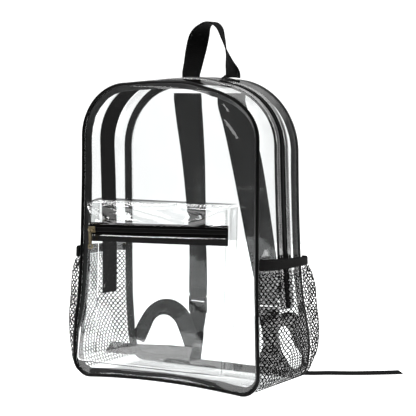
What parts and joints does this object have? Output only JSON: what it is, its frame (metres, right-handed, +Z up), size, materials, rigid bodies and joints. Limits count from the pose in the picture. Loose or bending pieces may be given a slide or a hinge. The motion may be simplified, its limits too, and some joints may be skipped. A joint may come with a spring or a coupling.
{
  "type": "clear stadium backpack",
  "caption": "Clear vinyl backpack with black piping, a zipped gusset and front pocket, net side pockets, a carrying loop and two adjustable shoulder straps.",
  "frame": {"origin": "on the floor under the middle of the bottom panel", "axes": "+Z up, front with the zipped pocket towards -Y, +X to the right seen from the front"},
  "size_m": [0.4669, 0.3078, 0.5083],
  "materials": {
    "vinyl": "clear soft vinyl sheet, glossy, slightly rippled",
    "piping": "glossy black vinyl piping",
    "webbing": "black woven polyester webbing and binding",
    "net": "black knitted polyester net",
    "coil": "black nylon zip coil",
    "plastic": "moulded black plastic",
    "dark_metal": "gunmetal plated die-cast zinc",
    "bright_metal": "antique brass plated die-cast zinc"
  },
  "bodies": {
    "bag": {"front_panel": "vinyl", "back_panel": "vinyl", "gusset_front": "vinyl", "gusset_rear": "vinyl", "base_gusset": "vinyl", "pocket_face": "vinyl", "pocket_upper": "vinyl", "pocket_side_left": "vinyl", "pocket_side_right": "vinyl", "front_piping": "piping", "rear_binding": "webbing", "front_seam_tape": "webbing", "main_zip_tape": "webbing", "pocket_zip_tape": "webbing", "net_mouth_left": "webbing", "net_mouth_right": "webbing", "shoulder_strap_left": "webbing", "shoulder_strap_right": "webbing", "lock_keeper_left": "webbing", "lock_keeper_right": "webbing", "strap_webbing_left": "webbing", "strap_webbing_right": "webbing", "handle": "webbing", "net_pocket_left": "net", "net_pocket_right": "net", "main_zip_coil": "coil", "pocket_zip_coil": "coil", "ladder_lock_left": "plastic", "ladder_lock_right": "plastic", "main_slider": "dark_metal", "pocket_slider": "bright_metal"},
    "main_pull_body": {"main_pull": "dark_metal"},
    "pocket_pull_body": {"pocket_pull": "bright_metal"}
  },
  "joints": [
    {"name": "main_pull_swing", "type": "hinge", "parent": "bag", "child": "main_pull_body", "pos_m": [0.05677, 0, 0.42834], "axis": [0.9807, 0.002, -0.1953], "range_deg": [0, 150]},
    {"name": "pocket_pull_swing", "type": "hinge", "parent": "bag", "child": "pocket_pull_body", "pos_m": [-0.0981, -0.10654, 0.21671], "axis": [-0.9991, -0.0316, -0.0274], "range_deg": [-4, 150]}
  ]
}
